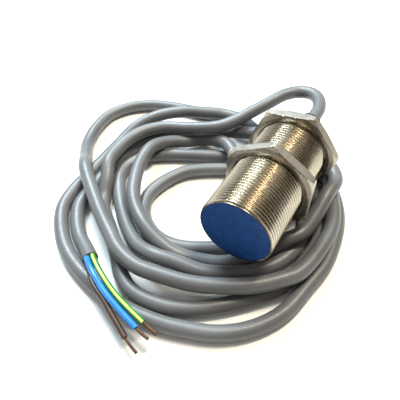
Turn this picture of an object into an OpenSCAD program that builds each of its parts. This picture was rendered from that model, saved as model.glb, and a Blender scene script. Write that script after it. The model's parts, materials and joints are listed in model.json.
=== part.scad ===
// Cylindrical inductive proximity sensor with two jam nuts and a fixed three-core cable.
// Frame: origin at the centre of the sensing face, +Y along the barrel towards the cable, +Z up.
// The sensor lies on its own loosely coiled cable, so the surface they rest on is rest_h below the axis.

/* [Barrel] */
// Diameter over the thread crests
barrel_d = 30; // [29.5:0.5:30.5]
// Length of the threaded barrel
barrel_len = 58; // [56:1:60]
// Wall left between the bore and the thread crests
barrel_wall = 1.6; // [1.4:0.1:1.8]
// Width of the metal rim around the face cap
rim_w = 0.7; // [0.5:0.1:0.9]

/* [Nuts] */
// Size across the flats of the nuts
nut_af = 36; // [35:0.5:38]
// Thickness of each nut
nut_h = 5; // [4:0.5:5.5]
// Distance from the sensing face to the front nut
front_nut_y = 26.5; // [24:0.5:28]
// Distance from the sensing face to the rear nut
rear_nut_y = 50.5; // [48:0.5:52]
// Turn of the front nut about the barrel
front_nut_turn = 30; // [0:1:60]
// Turn of the rear nut about the barrel
rear_nut_turn = 50; // [0:1:60]

/* [Cable] */
// Outer diameter of the cable sheath
cable_d = 6.4; // [6:0.1:6.6]
// Diameter over the insulation of one core
core_d = 2.4; // [2.2:0.1:2.5]
// Height of the barrel's axis above the surface
rest_h = 28; // [28:0.5:30]

/* [Hidden] */
$fn = 64;

brass = "tan";
plated = "silver";
blue_plastic = "royalblue";
grey_plastic = "dimgray";
copper = "chocolate";

barrel_r = barrel_d / 2;
bore_r = barrel_r - barrel_wall;
face_r = barrel_r - rim_w;
edge_chamfer = 0.5;
flange_t = 2;
cap_skirt_end = 14;
cap_wall = 1.7;
cap_front_t = 1.4;
fit_gap = 0.05;
seal_r = 0.45;
seal_groove_w = 1.4;
seal_groove_y = 10;
seal_groove_depth = 0.95;

core_r = 11;
core_t = 8;
core_post_r = 4.5;
core_slot_r = 9.5;
core_back_t = 3;
core_hole_r = 1.5;
core_y = cap_front_t + 0.1;
coil_gap = 0.15;
bobbin_t = 0.6;
holder_y = core_y + core_t + 0.1;
holder_len = 6;
holder_slot = 1.4;

board_w = 21;
board_t = 1.2;
board_y = 13;
board_end = 48;

plug_y = 53.5;
cap_seat_y = 56;
rear_cap_end = 62;
rear_cap_r = 14.2;
gland_end = 77;
gland_r = 6.2;
gland_tip_r = 4.6;
sheath_start = 49;
clamp_y = 50;
clamp_len = 3;
cable_r = cable_d / 2;
lead_r = 0.9;
tube_sides = 8;

nut_r = nut_af / 2 / cos(30);
nut_chamfer_r = nut_af / 2 - 0.7;
nut_slope = tan(20);
nut_bore_r = barrel_r + fit_gap;

// Heights of the cable's centre above the surface: lying on it, on one turn, on two turns
low = 3.2;
mid = 10.2;
high = 16.8;

// The cable from the gland to the end of its sheath: x, y, height above the surface
CABLE_ROUTE = [
    [0, 77, 28], [0, 87, 28], [-3, 95.5, 27.5], [-8.5, 100.3, 26.5], [-15.5, 100.2, 25],
    [-21, 95.5, 24], [-26, 88, 21.8], [-32, 79, 19], [-36, 73, 17], [-42, 66.5, 15], [-50, 63, 13],
    [-60, 60, 11], [-70, 56, mid], [-77, 48, mid], [-80, 38, mid], [-80, 29, mid], [-78, 20, mid],
    [-73.5, 12.5, 7.5], [-70, 5, 3.6], [-65.5, -1, low], [-57, -7.5, low], [-49, -14, low],
    [-42, -20, low], [-36.5, -24.8, low], [-29.5, -28.2, low], [-22, -28.6, low], [-12, -26.5, low],
    [-2, -21, low], [8, -12.5, low], [18, -1, low], [22.5, 10, low], [24.6, 20, low], [25, 32, low],
    [20, 48, low], [9, 63, low], [-8, 72, low], [-22, 78.5, 6.6], [-36, 82, mid], [-48, 82, mid],
    [-57, 78.5, mid], [-68, 73, mid], [-79, 64, 9], [-86, 53, 6.5], [-88, 40, low], [-87, 26, low],
    [-86, 14, low], [-85.5, 2, low], [-82.5, -9, low], [-76, -17.5, low], [-67, -25, low],
    [-57, -30, low], [-44, -33.6, low], [-30, -35.6, low], [-15, -34.4, low], [-3, -31.2, low],
    [9, -26, low], [19, -17.5, low], [26, -6, low], [29.5, 9, low], [32, 26, low], [28, 50, low],
    [15, 70, low], [-6, 80, low], [-28, 85, low], [-42, 87.5, low], [-60, 85.5, low],
    [-76, 82.5, low], [-91, 77.5, low], [-102, 69, low], [-108, 57, low], [-107, 43, low],
    [-102, 30, low], [-93, 19.5, 6.5], [-86.5, 12.5, 10.4], [-79.5, 6.5, 10.6], [-68, -2, mid],
    [-58, -9, mid], [-49, -14.5, mid], [-41, -19, mid], [-31, -21.3, mid], [-20, -19.8, mid],
    [-8, -16.8, mid], [4, -11, mid], [13, -5, mid], [21, 3, mid], [25.5, 10, mid], [28, 24, mid],
    [28, 38, mid], [23.5, 51, mid], [18, 62, mid], [10, 70, mid], [-2, 73.5, mid], [-14, 70.5, mid],
    [-22, 67, 7], [-30, 61.5, low], [-40, 56.5, low], [-50, 51, low], [-60, 45.5, low],
    [-69, 38.5, low], [-73.6, 28, low], [-72.6, 21, low], [-69, 15, low], [-60, 5, 3.5],
    [-49, -4.5, 5], [-38, -11.5, 7.5], [-28, -13.5, mid], [-19, -12, mid], [-9, -10, 9],
    [-2, -6, 7.5], [7, 3, 3.4], [15, 13, low], [18.5, 25, low], [17.5, 36, low], [11, 50, low],
    [-3, 58.5, low], [-18, 57, low], [-27, 52.5, low], [-38, 46, low], [-47, 38, low],
    [-52, 26, low], [-52.5, 15, low], [-47, 5, low], [-37, -1, low], [-27, -1.5, low], [-16, 3, low],
    [-5.5, 10.5, low], [2.5, 20.5, low], [5.5, 32, low], [1, 45, low], [-11, 50.5, low],
    [-18, 50, 5], [-23.5, 51.5, 10], [-30, 57.5, mid], [-36, 61.5, 9.8], [-43, 63.5, 7.5],
    [-50, 63, 5], [-57, 57.5, 5], [-63, 50, 7.5], [-66.3, 40, mid], [-65, 29, mid], [-60, 17, mid],
    [-52.5, 6, mid], [-41, -2.5, mid], [-30, -6.2, 8.4], [-20, -5.8, 5.8], [-5, 0.5, 4],
    [4, 10.5, 3.2], [10, 17.5, 4.8], [14.5, 21.5, 9], [19, 28, mid], [20.5, 36, 13], [21, 47, high],
    [21, 58, high], [12, 67, high], [-4, 70, high], [-15, 71, high], [-24, 72.5, 13.5], [-36, 73, 9],
    [-48, 71, 6], [-60, 66, low], [-72, 57, low], [-79.5, 44, low], [-80.5, 30, low],
    [-79.5, 16, low], [-78.5, 4, low], [-76.5, -5, low], [-70.5, -13, low], [-64, -18.6, low],
    [-57, -22.5, 4.4], [-51, -26, 6]];
cable_rings = 80;

// The stripped cores, from inside the sheath to the end of their insulation
BLUE_ROUTE = [[-53.2, -26.1, 6.3], [-48.8, -29.3, 9], [-43, -32.6, 10.2], [-35.5, -36, 9.6],
    [-28, -38.4, 9], [-16.5, -41.4, 8]];
BROWN_ROUTE = [[-52.3, -25.2, 4.2], [-48.5, -28.6, 5.9], [-45.5, -32.2, 7.4], [-41, -35.6, 8],
    [-33.5, -38.6, 7.6], [-28.5, -41, 7], [-18.5, -45.6, 6]];
EARTH_ROUTE = [[-52, -24, 6.3], [-47.3, -27.2, 9], [-41, -30.8, 10.2], [-33, -34.2, 9.8],
    [-26, -36.3, 9.2], [-15.3, -38.6, 8.4]];
BLUE_STRANDS = [[-18, -41, 8.1], [-14, -41.9, 7.9], [-10.5, -42.3, 7.6]];
BROWN_STRANDS = [[-20, -45, 6.2], [-16, -46.5, 5.5], [-12, -47.6, 4.6]];
EARTH_STRANDS = [[-17, -38.2, 8.6], [-12.5, -39, 8.2], [-9, -39.5, 8]];
strand_r = 0.6;
earth_strand_r = 0.8;
core_rings = 6;
strand_rings = 2;

// Place on a smooth curve through the route's points, with u counted in points
function blend4(a, b, c, d, t) = (2 * b + (c - a) * t + (2 * a - 5 * b + 4 * c - d) * t * t
    + (3 * b - a - 3 * c + d) * t * t * t) / 2;
function place(route, u) = let (n = len(route) - 1, i = min(floor(u), n - 1))
    blend4(route[max(i - 1, 0)], route[i], route[i + 1], route[min(i + 2, n)], u - i);
function unit(v) = v / norm(v);
function heading(route, u) = let (n = len(route) - 1, e = 0.01)
    unit(place(route, min(u + e, n)) - place(route, max(u - e, 0)));
function ring(route, u, r, sides) = let (t = heading(route, u), s = unit(cross(t, [0, 0, 1])),
    w = cross(s, t), p = place(route, u))
    [for (k = [0 : sides - 1]) p + r * (cos(360 * k / sides) * s + sin(360 * k / sides) * w)];

// A tube swept along a route as one closed solid
module tube(route, r, rings, sides = tube_sides) {
    last = len(route) - 1;
    points = [for (i = [0 : rings - 1]) each ring(route, last * i / (rings - 1), r, sides)];
    walls = [for (i = [0 : rings - 2], k = [0 : sides - 1])
        let (a = i * sides + k, b = i * sides + (k + 1) % sides) [a, a + sides, b + sides, b]];
    start_cap = [for (k = [0 : sides - 1]) k];
    end_cap = [for (k = [sides - 1 : -1 : 0]) (rings - 1) * sides + k];
    translate([0, 0, -rest_h])
        polyhedron(points, concat(walls, [start_cap, end_cap]), convexity = 10);
}

// Stands the children, drawn along +Z, along the barrel's axis from y
module along(y) {
    translate([0, y, 0]) rotate([-90, 0, 0]) children();
}

module ring_solid(y, len, outer_r, inner_r) {
    along(y) difference() {
        cylinder(h = len, r = outer_r);
        translate([0, 0, -1]) cylinder(h = len + 2, r = inner_r);
    }
}

module barrel() {
    color(plated) along(0) difference() {
        rotate_extrude() polygon([[0, 0], [barrel_r - edge_chamfer, 0], [barrel_r, edge_chamfer],
            [barrel_r, barrel_len - edge_chamfer], [barrel_r - edge_chamfer, barrel_len],
            [0, barrel_len]]);
        translate([0, 0, -1]) cylinder(h = barrel_len + 2, r = bore_r);
        translate([0, 0, -1]) cylinder(h = flange_t + 1, r = face_r);
        translate([0, 0, cap_seat_y]) cylinder(h = barrel_len, r = rear_cap_r);
    }
}

module face_cap() {
    skirt_r = bore_r - fit_gap;
    color(blue_plastic) along(0) difference() {
        union() {
            cylinder(h = flange_t, r = face_r - fit_gap);
            cylinder(h = cap_skirt_end, r = skirt_r);
        }
        translate([0, 0, cap_front_t]) cylinder(h = cap_skirt_end, r = skirt_r - cap_wall);
        translate([0, 0, seal_groove_y]) difference() {
            cylinder(h = seal_groove_w, r = skirt_r + 1);
            translate([0, 0, -1]) cylinder(h = 4, r = skirt_r - seal_groove_depth);
        }
    }
}

module seal(y, outer_r) {
    color("black") along(y) rotate_extrude() translate([outer_r - seal_r, 0]) circle(r = seal_r, $fn = 24);
}

module face_seal() {
    seal(seal_groove_y + seal_groove_w / 2, bore_r - 0.02);
}

module ferrite_core() {
    slot_depth = core_t - core_back_t;
    color("dimgray") along(core_y) difference() {
        cylinder(h = core_t, r = core_r);
        translate([0, 0, -1]) difference() {
            cylinder(h = slot_depth + 1, r = core_slot_r);
            cylinder(h = slot_depth + 2, r = core_post_r);
        }
        translate([0, 0, -1]) cylinder(h = core_t + 2, r = core_hole_r);
    }
}

module coil_bobbin() {
    inner_r = core_post_r + coil_gap;
    outer_r = core_slot_r - coil_gap;
    len = core_t - core_back_t - 2 * coil_gap;
    color("ivory") along(core_y + coil_gap) difference() {
        union() {
            cylinder(h = bobbin_t, r = outer_r);
            translate([0, 0, len - bobbin_t]) cylinder(h = bobbin_t, r = outer_r);
            cylinder(h = len, r = inner_r + bobbin_t);
        }
        translate([0, 0, -1]) cylinder(h = len + 2, r = inner_r);
    }
}

module coil_winding() {
    color(copper) ring_solid(core_y + 2 * coil_gap + bobbin_t,
        core_t - core_back_t - 4 * coil_gap - 2 * bobbin_t,
        core_slot_r - 3 * coil_gap, core_post_r + 2 * coil_gap + bobbin_t);
}

module core_holder() {
    holder_r = bore_r - cap_wall - 2 * fit_gap;
    color("white") difference() {
        ring_solid(holder_y, holder_len, holder_r, 8);
        translate([-board_w / 2 - 0.2, board_y - 0.2, -holder_slot / 2])
            cube([board_w + 0.4, holder_len, holder_slot]);
    }
}

module circuit_board() {
    color("darkgreen") translate([-board_w / 2, board_y, -board_t / 2])
        cube([board_w, board_end - board_y, board_t]);
}

// A block standing on the board's upper side (side = 1) or hanging under it (side = -1)
module on_board(x, y, w, l, h, side = 1) {
    base = side > 0 ? board_t / 2 : -board_t / 2 - h;
    translate([x - w / 2, y - l / 2, base]) cube([w, l, h]);
}

module oscillator_chip() {
    color("black") on_board(0, 20, 4, 5, 1.6);
    color("silver") for (side = [-1, 1], k = [-1.5 : 1 : 1.5])
        on_board(side * 2.5, 20 + 1.27 * k, 1, 0.5, 0.8);
}

module chip_resistors() {
    color("black") for (y = [18 : 3 : 30]) on_board(-7, y, 1.6, 0.8, 0.6);
    color("black") for (y = [18 : 3 : 42]) on_board(7, y, 1.6, 0.8, 0.6, -1);
}

module ceramic_capacitors() {
    color("peru") for (y = [19 : 4 : 27]) on_board(6.5, y, 2, 1.3, 1.2);
    color("peru") for (y = [20 : 5 : 40]) on_board(-6, y, 2, 1.3, 1.2, -1);
}

module smoothing_capacitor() {
    color("slategray") translate([-5.5, 32, board_t / 2 + 3.5]) rotate([-90, 0, 0])
        cylinder(h = 10, r = 3.4);
}

module bridge_rectifier() {
    color("black") on_board(4, 40.3, 6, 6, 2.5);
}

module output_thyristor() {
    color("black") on_board(4.5, 34, 7, 5, 3.5);
}

module surge_varistor() {
    color("steelblue") translate([0, 36, -board_t / 2 - 4]) rotate([0, 90, 0])
        cylinder(h = 3.5, r = 3.9);
}

module potting_plug() {
    color("darkslategray") ring_solid(plug_y, cap_seat_y - plug_y - 0.1, bore_r - fit_gap,
        cable_r + fit_gap);
}

module rear_cap() {
    groove_y = 0.3;
    color(grey_plastic) along(cap_seat_y) difference() {
        union() {
            cylinder(h = 2, r = rear_cap_r - fit_gap);
            translate([0, 0, 2]) rotate_extrude()
                polygon([[0, 0], [12.8, 0], [12.8, 1.5], [10.3, rear_cap_end - cap_seat_y - 2],
                    [0, rear_cap_end - cap_seat_y - 2]]);
        }
        translate([0, 0, -1]) cylinder(h = 12, r = gland_tip_r + fit_gap);
        translate([0, 0, groove_y]) difference() {
            cylinder(h = seal_groove_w, r = rear_cap_r + 1);
            translate([0, 0, -1]) cylinder(h = 4, r = rear_cap_r - seal_groove_depth - fit_gap);
        }
    }
}

module rear_seal() {
    seal(cap_seat_y + 0.3 + seal_groove_w / 2, rear_cap_r - 0.02);
}

module cable_gland() {
    neck = rear_cap_end - cap_seat_y;
    color("dimgray") along(cap_seat_y) difference() {
        rotate_extrude() polygon([[0, 0], [gland_tip_r, 0], [gland_tip_r, neck],
            [gland_r, neck], [gland_r, neck + 4], [gland_tip_r, gland_end - cap_seat_y],
            [0, gland_end - cap_seat_y]]);
        translate([0, 0, -1]) cylinder(h = 40, r = cable_r + 0.02);
    }
}

module cable_clamp() {
    color(brass) ring_solid(clamp_y, clamp_len, cable_r + 1.2, cable_r + 0.02);
}

module sheath_tail() {
    color("gray") along(sheath_start) cylinder(h = gland_end - sheath_start, r = cable_r);
}

// A short internal lead from the sheath to a place on the board or the barrel
module lead(side, drop, l = 4.8) {
    translate([side, sheath_start - l - 0.1, drop]) rotate([-90, 0, 0]) cylinder(h = l, r = lead_r);
}

module lead_blue() {
    color("dodgerblue") lead(-1.4, board_t / 2 + lead_r + 0.1);
}

module lead_brown() {
    color("saddlebrown") lead(1.4, board_t / 2 + lead_r + 0.1);
}

module lead_earth() {
    color("yellowgreen") translate([0, sheath_start - 1.2, -board_t / 2 - lead_r - 0.1])
        rotate([180, 0, 0]) cylinder(h = 10.2, r = lead_r);
}

module earth_tag() {
    color(plated) difference() {
        translate([-3, sheath_start - 5, -12.6]) cube([6, 6, 0.8]);
        translate([0, sheath_start - 3.5, -14]) cylinder(h = 4, r = 0.6);
    }
}

module nut(y, turn) {
    slope_h = (nut_r - nut_chamfer_r) * nut_slope;
    color(plated) along(y) difference() {
        intersection() {
            rotate([0, 0, turn]) cylinder(h = nut_h, r = nut_r, $fn = 6);
            rotate_extrude() polygon([[0, 0], [nut_chamfer_r, 0], [nut_r, slope_h],
                [nut_r, nut_h - slope_h], [nut_chamfer_r, nut_h], [0, nut_h]]);
        }
        translate([0, 0, -1]) cylinder(h = nut_h + 2, r = nut_bore_r);
    }
}

module front_nut() {
    nut(front_nut_y, front_nut_turn);
}

module rear_nut() {
    nut(rear_nut_y, rear_nut_turn);
}

module cable() {
    color("gray") tube(CABLE_ROUTE, cable_r, cable_rings);
}

module core_blue() {
    color("dodgerblue") tube(BLUE_ROUTE, core_d / 2, core_rings);
}

module core_brown() {
    color("saddlebrown") tube(BROWN_ROUTE, core_d / 2, core_rings);
}

module core_green_yellow() {
    color("yellowgreen") tube(EARTH_ROUTE, core_d / 2, core_rings);
}

module strands_blue() {
    color(copper) tube(BLUE_STRANDS, strand_r, strand_rings);
}

module strands_brown() {
    color(copper) tube(BROWN_STRANDS, strand_r, strand_rings);
}

module strands_green_yellow() {
    color(copper) tube(EARTH_STRANDS, earth_strand_r, strand_rings);
}

barrel();
face_cap();
face_seal();
ferrite_core();
coil_bobbin();
coil_winding();
core_holder();
circuit_board();
oscillator_chip();
chip_resistors();
ceramic_capacitors();
smoothing_capacitor();
bridge_rectifier();
output_thyristor();
surge_varistor();
potting_plug();
rear_cap();
rear_seal();
cable_gland();
cable_clamp();
sheath_tail();
lead_blue();
lead_brown();
lead_earth();
earth_tag();
front_nut();
rear_nut();
cable();
core_blue();
core_brown();
core_green_yellow();
strands_blue();
strands_brown();
strands_green_yellow();
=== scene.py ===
# Proximity sensor: detailed pieces, materials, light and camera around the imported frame.
import json
import math

import bpy
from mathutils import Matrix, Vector


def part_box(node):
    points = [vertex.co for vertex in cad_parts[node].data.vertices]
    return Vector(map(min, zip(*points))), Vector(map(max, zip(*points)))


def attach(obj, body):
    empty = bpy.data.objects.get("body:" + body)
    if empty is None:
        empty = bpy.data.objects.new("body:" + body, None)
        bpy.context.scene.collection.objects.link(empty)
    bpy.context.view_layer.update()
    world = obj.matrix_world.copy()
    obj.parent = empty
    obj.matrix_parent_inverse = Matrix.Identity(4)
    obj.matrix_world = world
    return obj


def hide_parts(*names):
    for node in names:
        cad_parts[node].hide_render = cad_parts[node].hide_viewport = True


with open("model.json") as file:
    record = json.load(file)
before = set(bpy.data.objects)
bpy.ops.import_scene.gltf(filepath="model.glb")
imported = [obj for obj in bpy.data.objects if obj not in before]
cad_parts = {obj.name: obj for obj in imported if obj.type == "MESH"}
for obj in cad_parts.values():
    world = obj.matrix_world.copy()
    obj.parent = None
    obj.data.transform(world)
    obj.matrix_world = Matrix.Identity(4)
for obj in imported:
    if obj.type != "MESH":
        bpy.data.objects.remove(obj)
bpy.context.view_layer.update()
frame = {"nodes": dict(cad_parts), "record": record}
MM = 0.001

# Driving dimensions in millimetres, the same as the CAD's
BARREL_R = 15.0
BARREL_LEN = 58.0
BORE_R = 13.4
FACE_R = 14.3
EDGE_CHAMFER = 0.5
NUT_APOTHEM = 18.0
NUT_CHAMFER_R = 17.3
NUT_SLOPE = math.tan(math.radians(20))
NUT_BORE_R = 15.05
CABLE_R = 3.2
CORE_R = 1.2
REST_H = 28.0
CAP_SEAT_R = 14.2
CAP_SEAT_Y = 56.0
FACE_SEAT_Y = 2.0
GLAND_END = 77.0

# The thread, which the CAD leaves plain, and where the shade painted into its root fades out to the
# metal's full brightness
THREAD_PITCH = 1.5
THREAD_DEPTH = 0.85
CREST_SHADE = 0.15
# How far the shade painted on a nut's end face reaches along its sides, and the widening of its bore's
# mouths
NUT_PAINTED_SHADE_END = 0.64
MOUTH_SLOPE = 0.7

# Heights of the cable's centre: lying on the surface, on one turn, on two turns
LOW, MID, HIGH = 3.2, 10.2, 16.8

# Points of each centreline, as (x, y, height above the surface)
CABLE_ROUTE = [
    (0, 77, 28), (0, 87, 28), (-3, 95.5, 27.5), (-8.5, 100.3, 26.5), (-15.5, 100.2, 25),
    (-21, 95.5, 24), (-26, 88, 21.8), (-32, 79, 19), (-36, 73, 17), (-42, 66.5, 15), (-50, 63, 13),
    (-60, 60, 11), (-70, 56, MID), (-77, 48, MID), (-80, 38, MID), (-80, 29, MID), (-78, 20, MID),
    (-73.5, 12.5, 7.5), (-70, 5, 3.6), (-65.5, -1, LOW), (-57, -7.5, LOW), (-49, -14, LOW),
    (-42, -20, LOW), (-36.5, -24.8, LOW), (-29.5, -28.2, LOW), (-22, -28.6, LOW), (-12, -26.5, LOW),
    (-2, -21, LOW), (8, -12.5, LOW), (18, -1, LOW), (22.5, 10, LOW), (24.6, 20, LOW), (25, 32, LOW),
    (20, 48, LOW), (9, 63, LOW), (-8, 72, LOW), (-22, 78.5, 6.6), (-36, 82, MID), (-48, 82, MID),
    (-57, 78.5, MID), (-68, 73, MID), (-79, 64, 9), (-86, 53, 6.5), (-88, 40, LOW), (-87, 26, LOW),
    (-86, 14, LOW), (-85.5, 2, LOW), (-82.5, -9, LOW), (-76, -17.5, LOW), (-67, -25, LOW),
    (-57, -30, LOW), (-44, -33.6, LOW), (-30, -35.6, LOW), (-15, -34.4, LOW), (-3, -31.2, LOW),
    (9, -26, LOW), (19, -17.5, LOW), (26, -6, LOW), (29.5, 9, LOW), (32, 26, LOW), (28, 50, LOW),
    (15, 70, LOW), (-6, 80, LOW), (-28, 85, LOW), (-42, 87.5, LOW), (-60, 85.5, LOW),
    (-76, 82.5, LOW), (-91, 77.5, LOW), (-102, 69, LOW), (-108, 57, LOW), (-107, 43, LOW),
    (-102, 30, LOW), (-93, 19.5, 6.5), (-86.5, 12.5, 10.4), (-79.5, 6.5, 10.6), (-68, -2, MID),
    (-58, -9, MID), (-49, -14.5, MID), (-41, -19, MID), (-31, -21.3, MID), (-20, -19.8, MID),
    (-8, -16.8, MID), (4, -11, MID), (13, -5, MID), (21, 3, MID), (25.5, 10, MID), (28, 24, MID),
    (28, 38, MID), (23.5, 51, MID), (18, 62, MID), (10, 70, MID), (-2, 73.5, MID), (-14, 70.5, MID),
    (-22, 67, 7), (-30, 61.5, LOW), (-40, 56.5, LOW), (-50, 51, LOW), (-60, 45.5, LOW),
    (-69, 38.5, LOW), (-73.6, 28, LOW), (-72.6, 21, LOW), (-69, 15, LOW), (-60, 5, 3.5),
    (-49, -4.5, 5), (-38, -11.5, 7.5), (-28, -13.5, MID), (-19, -12, MID), (-9, -10, 9),
    (-2, -6, 7.5), (7, 3, 3.4), (15, 13, LOW), (18.5, 25, LOW), (17.5, 36, LOW), (11, 50, LOW),
    (-3, 58.5, LOW), (-18, 57, LOW), (-27, 52.5, LOW), (-38, 46, LOW), (-47, 38, LOW),
    (-52, 26, LOW), (-52.5, 15, LOW), (-47, 5, LOW), (-37, -1, LOW), (-27, -1.5, LOW), (-16, 3, LOW),
    (-5.5, 10.5, LOW), (2.5, 20.5, LOW), (5.5, 32, LOW), (1, 45, LOW), (-11, 50.5, LOW),
    (-18, 50, 5), (-23.5, 51.5, 10), (-30, 57.5, MID), (-36, 61.5, 9.8), (-43, 63.5, 7.5),
    (-50, 63, 5), (-57, 57.5, 5), (-63, 50, 7.5), (-66.3, 40, MID), (-65, 29, MID), (-60, 17, MID),
    (-52.5, 6, MID), (-41, -2.5, MID), (-30, -6.2, 8.4), (-20, -5.8, 5.8), (-5, 0.5, 4),
    (4, 10.5, 3.2), (10, 17.5, 4.8), (14.5, 21.5, 9), (19, 28, MID), (20.5, 36, 13), (21, 47, HIGH),
    (21, 58, HIGH), (12, 67, HIGH), (-4, 70, HIGH), (-15, 71, HIGH), (-24, 72.5, 13.5), (-36, 73, 9),
    (-48, 71, 6), (-60, 66, LOW), (-72, 57, LOW), (-79.5, 44, LOW), (-80.5, 30, LOW),
    (-79.5, 16, LOW), (-78.5, 4, LOW), (-76.5, -5, LOW), (-70.5, -13, LOW), (-64, -18.6, LOW),
    (-57, -22.5, 4.4), (-51, -26, 6)]
CORE_ROUTES = {
    "blue": [
        (-53.2, -26.1, 6.3), (-48.8, -29.3, 9), (-43, -32.6, 10.2), (-35.5, -36, 9.6),
        (-28, -38.4, 9), (-16.5, -41.4, 8)],
    "brown": [
        (-52.3, -25.2, 4.2), (-48.5, -28.6, 5.9), (-45.5, -32.2, 7.4), (-41, -35.6, 8),
        (-33.5, -38.6, 7.6), (-28.5, -41, 7), (-18.5, -45.6, 6)],
    "green_yellow": [
        (-52, -24, 6.3), (-47.3, -27.2, 9), (-41, -30.8, 10.2), (-33, -34.2, 9.8),
        (-26, -36.3, 9.2), (-15.3, -38.6, 8.4)]}
STRAND_ROUTES = {
    "blue": [(-18, -41, 8.1), (-14, -41.9, 7.9), (-10.5, -42.3, 7.6)],
    "brown": [(-20, -45, 6.2), (-16, -46.5, 5.5), (-12, -47.6, 4.6)],
    "green_yellow": [(-17, -38.2, 8.6), (-12.5, -39, 8.2), (-9, -39.5, 8)]}
STRAND_R = {"blue": 0.6, "brown": 0.6, "green_yellow": 0.8}


# ---------- Camera ----------

CAMERA_AT = Vector((36.9, -86.4, 121.3)) * MM
CAMERA_TURN = math.radians(-30.8)
CAMERA_PITCH = math.radians(48.0)
SENSOR_WIDTH = 36.0
FOCAL_RATIO = 1.05


def make_camera():
    data = bpy.data.cameras.new("camera")
    data.sensor_width = SENSOR_WIDTH
    data.lens = SENSOR_WIDTH * FOCAL_RATIO
    data.clip_start = 0.005
    cam = bpy.data.objects.new("camera", data)
    bpy.context.collection.objects.link(cam)
    forward = Vector((math.sin(CAMERA_TURN) * math.cos(CAMERA_PITCH),
                      math.cos(CAMERA_TURN) * math.cos(CAMERA_PITCH), -math.sin(CAMERA_PITCH)))
    cam.location = CAMERA_AT
    cam.rotation_euler = forward.to_track_quat("-Z", "Y").to_euler()
    bpy.context.scene.camera = cam


make_camera()


# ---------- Materials ----------

GRAIN_DEPTH = 0.05


def node_material(name):
    mat = bpy.data.materials.new(name)
    mat.use_nodes = True
    return mat, mat.node_tree.nodes, mat.node_tree.links


def noise(nodes, links, scale, detail=4.0):
    """Noise fixed to the object, with scale as its blobs per metre."""
    coords = nodes.new("ShaderNodeTexCoord")
    tex = nodes.new("ShaderNodeTexNoise")
    tex.inputs["Scale"].default_value = scale
    tex.inputs["Detail"].default_value = detail
    links.new(coords.outputs["Object"], tex.inputs["Vector"])
    return tex.outputs["Fac"]


def ramp(nodes, links, value, stops):
    """A colour that follows value through the stops, each a (place, colour)."""
    node = nodes.new("ShaderNodeValToRGB")
    while len(node.color_ramp.elements) < len(stops):
        node.color_ramp.elements.new(0.5)
    for element, (place, color) in zip(node.color_ramp.elements, stops):
        element.position = place
        element.color = (*color, 1)
    links.new(value, node.inputs["Fac"])
    return node.outputs["Color"]


def spread(nodes, links, value, low, high):
    """A noise value's middle range, spread from low to high."""
    node = nodes.new("ShaderNodeMapRange")
    node.inputs["From Min"].default_value = 0.3
    node.inputs["From Max"].default_value = 0.7
    node.inputs["To Min"].default_value = low
    node.inputs["To Max"].default_value = high
    links.new(value, node.inputs["Value"])
    return node.outputs["Result"]


def height_in_thread(nodes, links):
    """0 at the thread's root and 1 at its crest, from the distance to the barrel's axis; it spreads the
    shade painted into the root.
    """
    coords = nodes.new("ShaderNodeTexCoord")
    flat = nodes.new("ShaderNodeVectorMath")
    flat.operation = "MULTIPLY"
    flat.inputs[1].default_value = (1, 0, 1)
    length = nodes.new("ShaderNodeVectorMath")
    length.operation = "LENGTH"
    scale = nodes.new("ShaderNodeMapRange")
    scale.inputs["From Min"].default_value = (BARREL_R - THREAD_DEPTH) * MM
    scale.inputs["From Max"].default_value = (BARREL_R - CREST_SHADE) * MM
    links.new(coords.outputs["Object"], flat.inputs[0])
    links.new(flat.outputs["Vector"], length.inputs[0])
    links.new(length.outputs["Value"], scale.inputs["Value"])
    return scale.outputs["Result"]


def surface(name, dark, light, rough, metallic=0.0, scale=60.0, grain=900.0, bump=0.05,
            coat=0.0, specular=0.5, fine=0.0, groove=None):
    """A material whose colour varies gently, with a finer grain in its gloss and relief.

    fine is how much the grain darkens the colour, and groove the colour of the shade painted into the
    thread's root.
    """
    mat, nodes, links = node_material(name)
    shader = nodes["Principled BSDF"]
    broad = noise(nodes, links, scale)
    tight = noise(nodes, links, grain, 3.0)
    color = ramp(nodes, links, broad, [(0.3, dark), (0.7, light)])
    if fine:
        mix = nodes.new("ShaderNodeMix")
        mix.data_type = "RGBA"
        mix.blend_type = "MULTIPLY"
        mix.inputs["Factor"].default_value = fine
        links.new(color, mix.inputs["A"])
        links.new(ramp(nodes, links, tight, [(0.35, (0.55, 0.53, 0.5)), (0.6, (1, 1, 1))]),
                  mix.inputs["B"])
        color = mix.outputs["Result"]
    if groove:
        root = nodes.new("ShaderNodeMix")
        root.data_type = "RGBA"
        links.new(height_in_thread(nodes, links), root.inputs["Factor"])
        root.inputs["A"].default_value = (*groove, 1)
        links.new(color, root.inputs["B"])
        color = root.outputs["Result"]
    links.new(color, shader.inputs["Base Color"])
    links.new(spread(nodes, links, tight, rough[0], rough[1]), shader.inputs["Roughness"])
    shader.inputs["Metallic"].default_value = metallic
    shader.inputs["Coat Weight"].default_value = coat
    shader.inputs["Coat Roughness"].default_value = 0.25
    shader.inputs["Specular IOR Level"].default_value = specular
    relief = nodes.new("ShaderNodeBump")
    relief.inputs["Strength"].default_value = bump
    relief.inputs["Distance"].default_value = GRAIN_DEPTH * MM
    links.new(tight, relief.inputs["Height"])
    links.new(relief.outputs["Normal"], shader.inputs["Normal"])
    return mat


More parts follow.
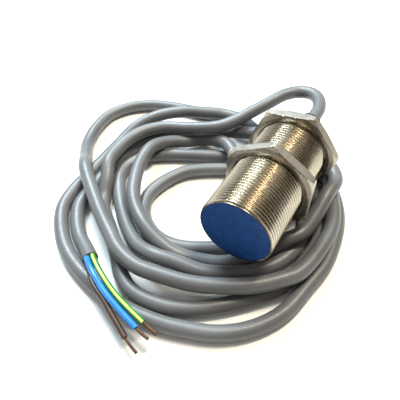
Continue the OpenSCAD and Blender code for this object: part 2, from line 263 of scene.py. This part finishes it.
MATERIALS = {
    # The groove colour paints shade into the thread's roots, darkest at the root and fading out towards
    # the crest
    "plated_brass": surface("plated_brass", (0.45, 0.39, 0.30), (0.58, 0.52, 0.42), (0.22, 0.30),
                            metallic=1.0, scale=90, grain=500, bump=0.02,
                            groove=(0.10, 0.075, 0.05)),
    "nut_metal": surface("nut_metal", (0.43, 0.39, 0.32), (0.55, 0.50, 0.43), (0.28, 0.38),
                         metallic=1.0, scale=120, grain=600, bump=0.08),
    # A darker copy of the nut metal, which paints shade on the nuts' end faces and bores
    "nut_face_painted_shade": surface("nut_face_painted_shade", (0.17, 0.145, 0.115), (0.25, 0.215, 0.17), (0.24, 0.34),
                        metallic=1.0, scale=120, grain=600, bump=0.08),
    "tinned_metal": surface("tinned_metal", (0.6, 0.6, 0.58), (0.8, 0.8, 0.78), (0.2, 0.35), 1.0),
    "blue_face": surface("blue_face", (0.002, 0.034, 0.150), (0.005, 0.062, 0.245), (0.45, 0.60),
                         scale=300, grain=900, bump=0.35, fine=0.35, specular=0.22),
    "seal_rubber": surface("seal_rubber", (0.02, 0.02, 0.02), (0.04, 0.04, 0.04), (0.6, 0.75)),
    "ferrite": surface("ferrite", (0.05, 0.05, 0.055), (0.09, 0.09, 0.095), (0.7, 0.9), bump=0.4),
    "bobbin_plastic": surface("bobbin_plastic", (0.75, 0.7, 0.58), (0.85, 0.8, 0.7), (0.4, 0.5)),
    "copper_wire": surface("copper_wire", (0.07, 0.038, 0.026), (0.17, 0.095, 0.06), (0.4, 0.55), 0.7,
                           scale=900, grain=3000),
    "holder_plastic": surface("holder_plastic", (0.7, 0.7, 0.68), (0.8, 0.8, 0.78), (0.4, 0.5)),
    "board": surface("board", (0.02, 0.15, 0.06), (0.04, 0.24, 0.1), (0.3, 0.45), coat=0.4),
    "chip_black": surface("chip_black", (0.02, 0.02, 0.022), (0.04, 0.04, 0.042), (0.45, 0.6)),
    "ceramic": surface("ceramic", (0.45, 0.32, 0.2), (0.58, 0.42, 0.27), (0.4, 0.55)),
    "capacitor_sleeve": surface("capacitor_sleeve", (0.08, 0.1, 0.16), (0.13, 0.16, 0.24),
                                (0.25, 0.4)),
    "varistor": surface("varistor", (0.05, 0.16, 0.4), (0.09, 0.24, 0.52), (0.35, 0.5)),
    "potting": surface("potting", (0.05, 0.07, 0.07), (0.1, 0.12, 0.12), (0.3, 0.5)),
    "cap_plastic": surface("cap_plastic", (0.10, 0.10, 0.11), (0.15, 0.15, 0.16), (0.42, 0.58),
                           grain=1800, bump=0.25),
    "gland_rubber": surface("gland_rubber", (0.11, 0.11, 0.12), (0.17, 0.17, 0.18), (0.5, 0.66),
                            grain=1800, bump=0.3),
    "clamp_brass": surface("clamp_brass", (0.55, 0.4, 0.2), (0.72, 0.56, 0.3), (0.25, 0.4), 1.0),
    "cable_sheath": surface("cable_sheath", (0.100, 0.102, 0.107), (0.145, 0.148, 0.155),
                            (0.36, 0.50), scale=38, grain=1100, bump=0.2, fine=0.12, specular=0.55),
    "core_blue": surface("core_blue", (0.012, 0.16, 0.55), (0.025, 0.26, 0.72), (0.28, 0.4),
                         scale=200, grain=2500, coat=0.15),
    "core_brown": surface("core_brown", (0.035, 0.018, 0.013), (0.06, 0.03, 0.022), (0.3, 0.45),
                          scale=200, grain=2500),
    "core_green": surface("core_green", (0.015, 0.17, 0.03), (0.03, 0.27, 0.05), (0.28, 0.4),
                          scale=200, grain=2500, coat=0.15),
    "core_yellow": surface("core_yellow", (0.50, 0.56, 0.10), (0.62, 0.68, 0.18), (0.28, 0.4),
                           scale=200, grain=2500, coat=0.15),
}
# The CAD's slot for the striped core
MATERIALS["core_green_yellow"] = MATERIALS["core_green"]


# ---------- Mesh helpers ----------

def new_piece(name, verts, faces, materials, sharp=35.0, face_slots=None):
    """A closed mesh piece in millimetres, smooth but for edges sharper than the angle."""
    mesh = bpy.data.meshes.new(name)
    mesh.from_pydata([Vector(v) * MM for v in verts], [], faces)
    for key in materials:
        mesh.materials.append(MATERIALS[key])
    if face_slots:
        mesh.polygons.foreach_set("material_index", face_slots)
    mesh.validate()
    mesh.shade_smooth()
    mesh.set_sharp_from_angle(angle=math.radians(sharp))
    mesh.update()
    piece = bpy.data.objects.new(name, mesh)
    bpy.context.collection.objects.link(piece)
    return piece


def grid_faces(rows, cols, close_rows=False):
    """Quads over a grid whose columns wrap round, and whose rows may too."""
    last = rows if close_rows else rows - 1
    return [(r * cols + c, r * cols + (c + 1) % cols, (r + 1) % rows * cols + (c + 1) % cols,
             (r + 1) % rows * cols + c) for r in range(last) for c in range(cols)]


def around(r, y, angle):
    """A point at radius r and angle about the barrel's axis, y along it."""
    return (r * math.cos(angle), y, r * math.sin(angle))


def lathe(name, profile, slot, cols=96, sharp=30.0):
    """A piece turned from a closed outline of (radius, y). A first and last point at radius 0 close it."""
    poles = [p for p in profile if p[0] == 0]
    rim = [p for p in profile if p[0] > 0]
    verts = [around(r, y, 2 * math.pi * c / cols) for r, y in rim for c in range(cols)]
    faces = grid_faces(len(rim), cols, close_rows=not poles)
    for (_, y), row in zip(poles, (0, len(rim) - 1)):
        centre = len(verts)
        verts.append((0, y, 0))
        ring = [row * cols + c for c in range(cols)]
        pairs = zip(ring, ring[1:] + ring[:1])
        faces += [(centre, b, a) if row == 0 else (centre, a, b) for a, b in pairs]
    return new_piece(name, verts, faces, [slot], sharp)


def blend4(a, b, c, d, t):
    """The same smooth curve between b and c as the CAD's."""
    return (2 * b + (c - a) * t + (2 * a - 5 * b + 4 * c - d) * t * t
            + (3 * b - a - 3 * c + d) * t * t * t) / 2


def smooth_path(route, steps):
    """The route's curve as a list of points in the row frame, in millimetres."""
    pts = [Vector((x, y, h - REST_H)) for x, y, h in route]
    last = len(pts) - 1
    path = [blend4(pts[max(i - 1, 0)], pts[i], pts[i + 1], pts[min(i + 2, last)], k / steps)
            for i in range(last) for k in range(steps)]
    return path + [pts[-1]]


def path_frames(path):
    """A side and an up direction at each point, carried along without twist."""
    tangents = [(path[min(i + 1, len(path) - 1)] - path[max(i - 1, 0)]).normalized()
                for i in range(len(path))]
    side = tangents[0].cross(Vector((0, 0, 1))).normalized()
    frames = []
    for tangent in tangents:
        side = (side - tangent * side.dot(tangent)).normalized()
        frames.append((side, tangent.cross(side)))
    return frames


def tube(name, path, radius, materials, cols=24, face_slot=None):
    """A round tube along the path, closed at both ends. face_slot picks a column's material."""
    rows = len(path)
    verts = []
    for p, (side, up) in zip(path, path_frames(path)):
        verts += [p + radius * (math.cos(a) * side + math.sin(a) * up)
                  for a in (2 * math.pi * c / cols for c in range(cols))]
    faces = grid_faces(rows, cols)
    for row, centre in ((0, path[0]), (rows - 1, path[-1])):
        hub = len(verts)
        verts.append(centre)
        ring = [row * cols + c for c in range(cols)]
        pairs = zip(ring, ring[1:] + ring[:1])
        faces += [(hub, b, a) if row == 0 else (hub, a, b) for a, b in pairs]
    slots = None
    if face_slot:
        slots = [face_slot(i % cols) if i < (rows - 1) * cols else 0
                 for i in range(len(faces))]
    return new_piece(name, verts, faces, materials, 50.0, slots)


def path_length(path):
    return sum((b - a).length for a, b in zip(path, path[1:]))


# ---------- Cable and cores ----------

def make_strands(color):
    """Six bare copper strands twisted round a seventh."""
    steps, lay_mm, wires = 14, 5.0, 6
    path = smooth_path(STRAND_ROUTES[color], steps)
    outer = STRAND_R[color]
    wire_r = outer / 3
    frames = path_frames(path)
    run = path_length(path)
    verts, faces = [], []
    cols = 8
    for w in range(wires + 1):
        line = []
        for i, (p, (side, up)) in enumerate(zip(path, frames)):
            a = 2 * math.pi * (w / wires + run * i / (len(path) - 1) / lay_mm)
            away = 0 if w == wires else outer - wire_r
            line.append(p + away * (math.cos(a) * side + math.sin(a) * up))
        base = len(verts)
        for p, (side, up) in zip(line, path_frames(line)):
            verts += [p + wire_r * (math.cos(t) * side + math.sin(t) * up)
                      for t in (2 * math.pi * c / cols for c in range(cols))]
        faces += [tuple(v + base for v in f) for f in grid_faces(len(line), cols)]
        faces.append(tuple(base + c for c in reversed(range(cols))))
        faces.append(tuple(base + (len(line) - 1) * cols + c for c in range(cols)))
    piece = new_piece(f"bare_strands_{color}", verts, faces, ["copper_wire"], 60.0)
    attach(piece, "sensor")
    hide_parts(f"strands_{color}")
    return piece


def make_core(color):
    """One insulated core with its bare strands, leaving the cable."""
    steps, cols = 10, 24
    path = smooth_path(CORE_ROUTES[color], steps)
    materials, face_slot = [f"core_{color}"], None
    if color == "green_yellow":
        materials = ["core_green", "core_yellow"]
        stripe_start, stripe_end = 5, 8

        def face_slot(col):
            """Two yellow stripes, on opposite sides of the green core."""
            return 1 if stripe_start <= col % (cols // 2) < stripe_end else 0

    core = tube(f"insulated_core_{color}", path, CORE_R, materials, cols, face_slot)
    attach(core, "sensor")
    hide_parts(f"core_{color}")
    strands = make_strands(color)
    path_length(path) * MM


def make_cable():
    """The sheath, from the strain relief's mouth to its cut end."""
    steps = 7
    path = smooth_path(CABLE_ROUTE, steps)
    cable = tube("cable_sheath", path, CABLE_R, ["cable_sheath"])
    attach(cable, "sensor")
    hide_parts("cable")
    path_length(path) * MM


make_cable()
for core_color in CORE_ROUTES:
    make_core(core_color)


# ---------- Barrel, face and rear ----------

def thread_wave(turns):
    """Depth below the crest, from 0 to 1, over one turn: flat crest, straight flanks, round root."""
    t = abs((turns % 1.0) - 0.5) * 2
    crest, root = 0.16, 0.80
    if t < crest:
        return 0.0
    depth = min((t - crest) / (root - crest), 1.0)
    return depth if depth < 0.8 else 0.8 + 0.2 * math.sin((depth - 0.8) / 0.2 * math.pi / 2)


def make_barrel():
    """The threaded barrel: a helical thread outside, and a stepped bore inside."""
    cols, rows_per_turn = 180, 12
    step = THREAD_PITCH / rows_per_turn
    rows = int(BARREL_LEN / step)
    verts = []
    for i in range(rows + 1):
        y = BARREL_LEN * i / rows
        limit = BARREL_R - max(0.0, EDGE_CHAMFER - y, EDGE_CHAMFER - (BARREL_LEN - y))
        for c in range(cols):
            r = BARREL_R - THREAD_DEPTH * thread_wave(y / THREAD_PITCH - c / cols)
            verts.append(around(min(r, limit), y, 2 * math.pi * c / cols))
    inside = [(CAP_SEAT_R, BARREL_LEN), (CAP_SEAT_R, CAP_SEAT_Y), (BORE_R, CAP_SEAT_Y),
              (BORE_R, FACE_SEAT_Y), (FACE_R, FACE_SEAT_Y), (FACE_R, 0.0)]
    verts += [around(r, y, 2 * math.pi * c / cols) for r, y in inside for c in range(cols)]
    faces = grid_faces(rows + 1 + len(inside), cols, close_rows=True)
    piece = new_piece("threaded_barrel", verts, faces, ["plated_brass"], 48.0)
    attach(piece, "sensor")
    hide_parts("barrel")


def turned(name, cad_node, slot, profile, cols=96):
    """A turned piece on the sensor's body, in place of one CAD node."""
    piece = lathe(name, profile, slot, cols)
    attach(piece, "sensor")
    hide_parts(cad_node)


def arc(cx, cy, r, start, end, count=6):
    """Points on an arc in the (radius, y) outline, angles in degrees."""
    return [(cx + r * math.cos(math.radians(start + (end - start) * k / count)),
             cy + r * math.sin(math.radians(start + (end - start) * k / count)))
            for k in range(count + 1)]


def make_face():
    """The blue cap: a flat front, a flange in the barrel's rim, and a skirt with a seal groove."""
    outer, skirt, wall = 14.25, 13.35, 1.7
    outline = ([(0, 0.03), (6, 0.02), (12, 0.0)] + arc(outer - 0.3, 0.3, 0.3, -90, 0)
               + [(outer, FACE_SEAT_Y), (skirt, FACE_SEAT_Y), (skirt, 10.0), (skirt - 0.95, 10.0),
                  (skirt - 0.95, 11.4), (skirt, 11.4), (skirt, 14.0), (skirt - wall, 14.0),
                  (skirt - wall, 1.4), (0, 1.4)])
    turned("blue_face_cap", "face_cap", "blue_face", outline, cols=128)


def make_rear():
    """The rear cap, and the ribbed strain relief that the cable comes out of."""
    outline = ([(4.65, 0.0), (14.15, 0.0), (14.15, 2.0), (12.8, 2.0)]
               + arc(12.4, 3.2, 0.4, 0, 60, 3) + arc(10.0, 5.4, 0.6, 60, 90, 4)
               + [(4.65, 6.0)])
    turned("rear_end_cap", "rear_cap", "cap_plastic",
           [(r, CAP_SEAT_Y + y) for r, y in outline])
    start, end = 10.0, GLAND_END - CAP_SEAT_Y
    ribs, rib_h, neck = 5, 0.45, 4.6
    boot = [(3.22, 0.0), (neck, 0.0), (neck, 6.0), (6.0, 6.0), (6.2, 6.2), (6.2, 9.8), (6.0, start)]
    span = (end - start) / ribs
    for k in range(ribs):
        r = 5.7 - (5.7 - neck) * k / (ribs - 1)
        y = start + k * span
        boot += [(r - rib_h, y + 0.1), (r - rib_h, y + 0.45 * span), (r, y + 0.55 * span),
                 (r, y + span - 0.1)]
    boot += [(neck - 0.15, end), (3.22, end)]
    turned("strain_relief_boot", "cable_gland", "gland_rubber",
           [(r, CAP_SEAT_Y + y) for r, y in boot])


# ---------- Nuts ----------

def hex_radius(angle, corner_sharpness=70.0):
    """Radius of a hexagon with slightly rounded corners, flats facing 30 degrees and every 60."""
    total = 0.0
    for k in range(6):
        reach = math.cos(angle - math.radians(30 + 60 * k)) / NUT_APOTHEM
        if reach > 0:
            total += reach ** corner_sharpness
    return total ** (-1 / corner_sharpness)


def make_nut(name, turn_degrees):
    """A thin nut, chamfered at both ends and threaded, with shade painted on its end faces and bore,
    darker than its sides.
    """
    low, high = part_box(name)
    y0, y1 = low[1] / MM, high[1] / MM
    height = y1 - y0
    cols, bore_rows = 240, 40
    mouth, groove_depth = 0.7, 0.35
    edge = (0.0, 0.06, 0.16, 0.3, 0.46, NUT_PAINTED_SHADE_END, 0.84, 1.06, 1.3)
    steps = list(edge) + [height / 2] + [height - t for t in reversed(edge)]
    turn = math.radians(turn_degrees)
    verts = []
    for t in steps:
        cone = NUT_CHAMFER_R + min(t, height - t) / NUT_SLOPE
        for c in range(cols):
            a = 2 * math.pi * c / cols
            r = min(hex_radius(a), cone)
            verts.append(around(r, y0 + t, a + turn))
    for i in range(bore_rows + 1):
        t = height * (1 - i / bore_rows)
        opening = NUT_BORE_R + max(0.0, mouth - t, mouth - (height - t)) * MOUTH_SLOPE
        for c in range(cols):
            a = 2 * math.pi * c / cols
            groove = groove_depth * (1 - thread_wave(t / THREAD_PITCH - c / cols))
            verts.append(around(max(NUT_BORE_R + groove, opening), y0 + t, a + turn))
    faces = grid_faces(len(steps) + bore_rows + 1, cols, close_rows=True)
    sides_start = edge.index(NUT_PAINTED_SHADE_END)
    sides_end = len(steps) - 1 - sides_start
    # Slot 1 paints shade on the end faces and the bore; slot 0 is the plain metal of the sides
    slots = [0 if sides_start <= i // cols < sides_end else 1 for i in range(len(faces))]
    piece = new_piece(f"jam_{name}", verts, faces, ["nut_metal", "nut_face_painted_shade"], 26.0, slots)
    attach(piece, name)
    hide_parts(name)


make_barrel()
make_face()
make_rear()
make_nut("front_nut", 30)
make_nut("rear_nut", 10)


# ---------- Carried-over CAD nodes ----------

def dress_cad_nodes():
    """Gives each CAD node that is carried over the material of its own slot."""
    slots = {s["node"]: s["material_slot"] for s in frame["record"]["subparts"]}
    for name, piece in frame["nodes"].items():
        for holder in piece.material_slots:
            holder.material = MATERIALS[slots[name]]


dress_cad_nodes()


# ---------- Floor and light ----------

def make_floor():
    """A plain pale floor at the height the cable lies on."""
    z = -REST_H * MM
    half = 3.0
    mesh = bpy.data.meshes.new("floor")
    mesh.from_pydata([(-half, -half, z), (half, -half, z), (half, half, z), (-half, half, z)], [],
                     [(0, 1, 2, 3)])
    mat, nodes, links = node_material("floor_white")
    shader = nodes["Principled BSDF"]
    color = ramp(nodes, links, noise(nodes, links, 6.0), [(0.3, (0.86, 0.85, 0.83)),
                                                        (0.7, (0.9, 0.895, 0.885))])
    links.new(color, shader.inputs["Base Color"])
    shader.inputs["Roughness"].default_value = 0.6
    mesh.materials.append(mat)
    floor = bpy.data.objects.new("floor", mesh)
    bpy.context.collection.objects.link(floor)


def area_light(name, place, target, size, power, color):
    """A rectangular lamp at place, aimed at target, in metres and watts."""
    data = bpy.data.lights.new(name, "AREA")
    data.shape = "RECTANGLE"
    data.size, data.size_y = size
    data.energy = power
    data.color = color
    lamp = bpy.data.objects.new(name, data)
    bpy.context.collection.objects.link(lamp)
    lamp.location = place
    lamp.rotation_euler = (Vector(target) - Vector(place)).to_track_quat("-Z", "Y").to_euler()


def make_light():
    """A world brightest on the left and above, a window on the left, and a warm strip overhead."""
    world = bpy.data.worlds.new("studio")
    world.use_nodes = True
    nodes, links = world.node_tree.nodes, world.node_tree.links
    back = nodes["Background"]
    coords = nodes.new("ShaderNodeTexCoord")
    toward = nodes.new("ShaderNodeVectorMath")
    toward.operation = "DOT_PRODUCT"
    toward.inputs[1].default_value = (-0.60, 0.45, 0.66)
    side = nodes.new("ShaderNodeMapRange")
    side.inputs["From Min"].default_value = -1.0
    links.new(coords.outputs["Generated"], toward.inputs[0])
    links.new(toward.outputs["Value"], side.inputs["Value"])
    links.new(ramp(nodes, links, side.outputs["Result"],
                   [(0.20, (0.14, 0.12, 0.10)), (0.55, (0.52, 0.44, 0.35)),
                    (0.72, (0.86, 0.87, 0.88)), (0.95, (0.78, 0.92, 1.0))]), back.inputs["Color"])
    back.inputs["Strength"].default_value = 0.70
    bpy.context.scene.world = world
    centre = (-0.02, 0.03, 0.0)
    area_light("window", (-0.50, 0.35, 0.65), centre, (0.35, 0.30), 14.0, (0.76, 0.92, 1.0))
    area_light("lamp", (0.10, 0.30, 0.80), centre, (0.08, 0.40), 8.0, (1.0, 0.90, 0.72))


make_floor()
make_light()
bpy.context.scene.view_settings.view_transform = "Standard"
